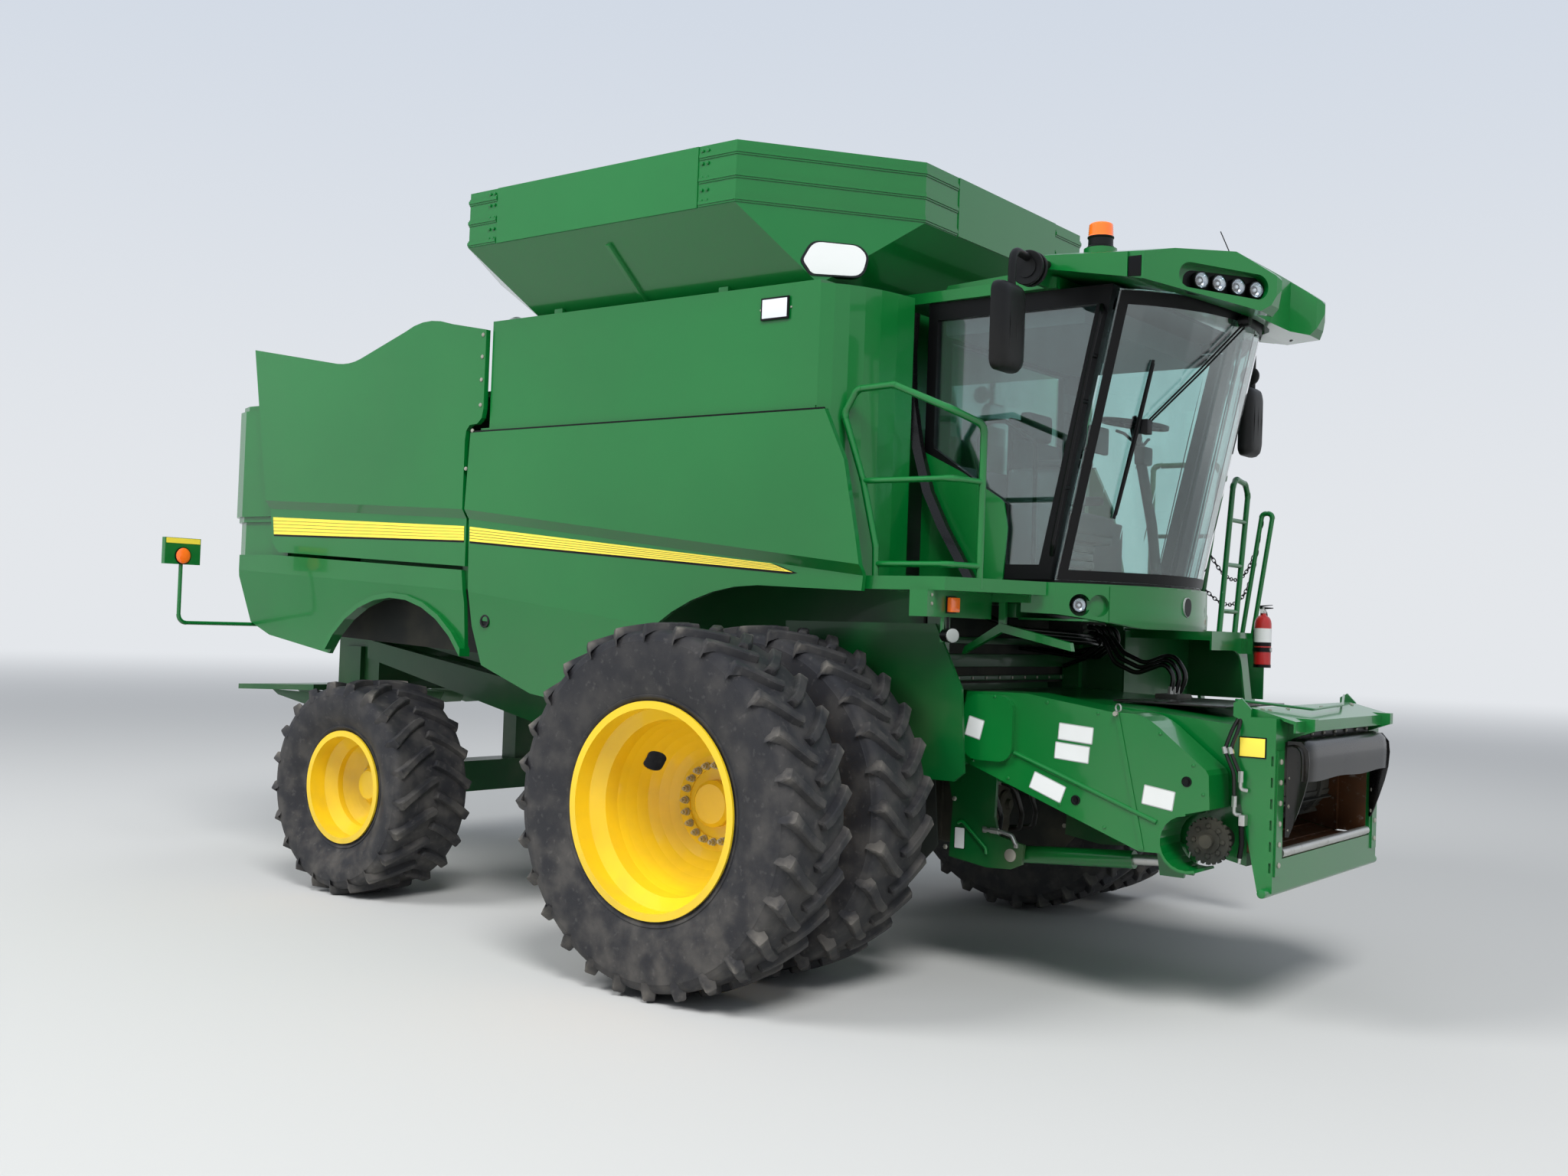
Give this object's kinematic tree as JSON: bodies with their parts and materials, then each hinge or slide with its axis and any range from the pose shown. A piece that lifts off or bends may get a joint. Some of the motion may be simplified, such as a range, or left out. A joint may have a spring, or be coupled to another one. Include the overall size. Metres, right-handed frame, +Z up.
{
  "type": "combine harvester",
  "caption": "Self-propelled combine harvester on dual front wheels with an open grain tank extension, cab, feeder house and folded unloading auger, without a header.",
  "frame": {"origin": "on the ground, at the middle of the machine's length and width", "axes": "+X forwards along the machine, +Y to its left, +Z up"},
  "size_m": [8.87, 5.088, 4.6],
  "materials": {
    "green_paint": "gloss",
    "green_paint_dark": "gloss",
    "yellow_paint": "gloss",
    "tyre_rubber": "matt",
    "black_plastic": "matt",
    "tinted_glass": "clear",
    "bright_steel": "satin",
    "worn_steel": "worn",
    "engine_iron": "matt",
    "seat_fabric": "matt",
    "red_paint": "gloss",
    "orange_lens": "gloss",
    "lamp_lens": "clear",
    "black_rubber": "satin"
  },
  "bodies": {
    "chassis": {"main_frame": "green_paint", "separator_body": "green_paint_dark", "engine_block": "engine_iron", "grain_tank": "green_paint", "tank_extension": "green_paint", "tank_panels": "green_paint", "rear_hood": "green_paint", "rear_shields": "green_paint", "wheel_shields": "green_paint", "panel_posts": "green_paint", "cab_shell": "black_plastic", "cab_base": "green_paint", "cab_roof": "green_paint", "cab_glass": "tinted_glass", "operator_seat": "seat_fabric", "steering_column": "black_plastic", "platform_right": "green_paint", "platform_left": "green_paint", "fire_extinguisher": "red_paint", "front_axle": "green_paint_dark", "rear_axle": "green_paint_dark", "cab_mirrors": "black_plastic", "roof_beacon": "orange_lens", "work_lamps": "lamp_lens", "marker_arms": "green_paint", "tail_chopper": "green_paint_dark", "exhaust_stack": "bright_steel"},
    "panel_right_front": {"side_panel_right_front": "green_paint"},
    "panel_left_front": {"side_panel_left_front": "green_paint"},
    "panel_right_rear": {"side_panel_right_rear": "green_paint"},
    "panel_left_rear": {"side_panel_left_rear": "green_paint"},
    "door": {"cab_door": "black_plastic", "door_glass": "tinted_glass"},
    "access_ladder": {"ladder": "green_paint"},
    "duals_right": {"dual_rims_right": "yellow_paint", "dual_tyres_right": "tyre_rubber"},
    "duals_left": {"dual_rims_left": "yellow_paint", "dual_tyres_left": "tyre_rubber"},
    "steer_right": {"knuckle_right": "green_paint_dark"},
    "steer_left": {"knuckle_left": "green_paint_dark"},
    "tie": {"tie_rod": "green_paint_dark"},
    "rear_wheel_right": {"rear_rim_right": "yellow_paint", "rear_tyre_right": "tyre_rubber"},
    "rear_wheel_left": {"rear_rim_left": "yellow_paint", "rear_tyre_left": "tyre_rubber"},
    "feeder": {"feeder_house": "green_paint", "feeder_drive_cover": "green_paint", "feeder_faceplate": "green_paint", "feeder_hood": "black_rubber", "feeder_conveyor": "worn_steel"},
    "lift_barrel_pair": {"lift_barrels": "green_paint"},
    "lift_rod_pair": {"lift_rods": "bright_steel"},
    "auger": {"unloading_auger": "green_paint"}
  },
  "joints": [
    {"name": "duals_right_spin", "type": "hinge", "parent": "chassis", "child": "duals_right", "pos_m": [1.685, -1.905, 0.965], "axis": [0, 1, 0], "continuous": true},
    {"name": "duals_left_spin", "type": "hinge", "parent": "chassis", "child": "duals_left", "pos_m": [1.685, 1.905, 0.965], "axis": [0, 1, 0], "continuous": true},
    {"name": "steer_right_turn", "type": "hinge", "parent": "chassis", "child": "steer_right", "pos_m": [-1.745, -1.13, 0.725], "axis": [0, 0, 1], "range_deg": [-28, 28]},
    {"name": "steer_left_turn", "type": "hinge", "parent": "chassis", "child": "steer_left", "pos_m": [-1.745, 1.13, 0.725], "axis": [0, 0, 1], "range_deg": [-29, 29]},
    {"name": "tie_rod_shift", "type": "slide", "parent": "chassis", "child": "tie", "axis": [0, 1, 0], "range_m": [-0.115, 0.115]},
    {"name": "rear_wheel_right_spin", "type": "hinge", "parent": "steer_right", "child": "rear_wheel_right", "pos_m": [-1.745, -1.57, 0.725], "axis": [0, 1, 0], "continuous": true},
    {"name": "rear_wheel_left_spin", "type": "hinge", "parent": "steer_left", "child": "rear_wheel_left", "pos_m": [-1.745, 1.57, 0.725], "axis": [0, 1, 0], "continuous": true},
    {"name": "feeder_lift", "type": "hinge", "parent": "chassis", "child": "feeder", "pos_m": [2.445, 0, 1.48], "axis": [0, -1, 0], "range_deg": [-12, 18]},
    {"name": "lift_barrel_tilt", "type": "hinge", "parent": "chassis", "child": "lift_barrel_pair", "pos_m": [2.795, 0, 0.7], "axis": [0, -1, 0], "range_deg": [-16, 24]},
    {"name": "lift_rod_slide", "type": "slide", "parent": "lift_barrel_pair", "child": "lift_rod_pair", "axis": [0.9972, 0, 0.0743], "range_m": [-0.17, 0.2535]},
    {"name": "panel_right_front_lift", "type": "hinge", "parent": "chassis", "child": "panel_right_front", "pos_m": [1.685, -1.604, 3.11], "axis": [-1, 0, 0], "range_deg": [0, 75]},
    {"name": "panel_left_front_lift", "type": "hinge", "parent": "chassis", "child": "panel_left_front", "pos_m": [1.685, 1.604, 3.11], "axis": [1, 0, 0], "range_deg": [0, 75]},
    {"name": "panel_right_rear_swing", "type": "hinge", "parent": "chassis", "child": "panel_right_rear", "pos_m": [-0.825, -1.64, 2.8], "axis": [0, 0, 1], "range_deg": [0, 80]},
    {"name": "panel_left_rear_swing", "type": "hinge", "parent": "chassis", "child": "panel_left_rear", "pos_m": [-0.825, 1.64, 2.8], "axis": [0, 0, -1], "range_deg": [0, 80]},
    {"name": "cab_door_swing", "type": "hinge", "parent": "chassis", "child": "door", "pos_m": [2.293, 0.918, 3], "axis": [0, 0, 1], "range_deg": [0, 70]},
    {"name": "ladder_swing", "type": "hinge", "parent": "chassis", "child": "access_ladder", "pos_m": [3.069, 1.978, 1.945], "axis": [0, 0, 1], "range_deg": [-90, 0]},
    {"name": "auger_swing", "type": "hinge", "parent": "chassis", "child": "auger", "pos_m": [1.865, 1.5, 3.5], "axis": [0, 0, -1], "range_deg": [0, 100]}
  ],
  "couplings": [
    {"joint": "steer_left_turn", "follows": "steer_right_turn", "ratio": 1},
    {"joint": "tie_rod_shift", "follows": "steer_right_turn", "m_per_rad": -0.23},
    {"joint": "lift_barrel_tilt", "follows": "feeder_lift", "ratio": 1.235},
    {"joint": "lift_rod_slide", "follows": "feeder_lift", "m_per_rad": 0.7975}
  ]
}
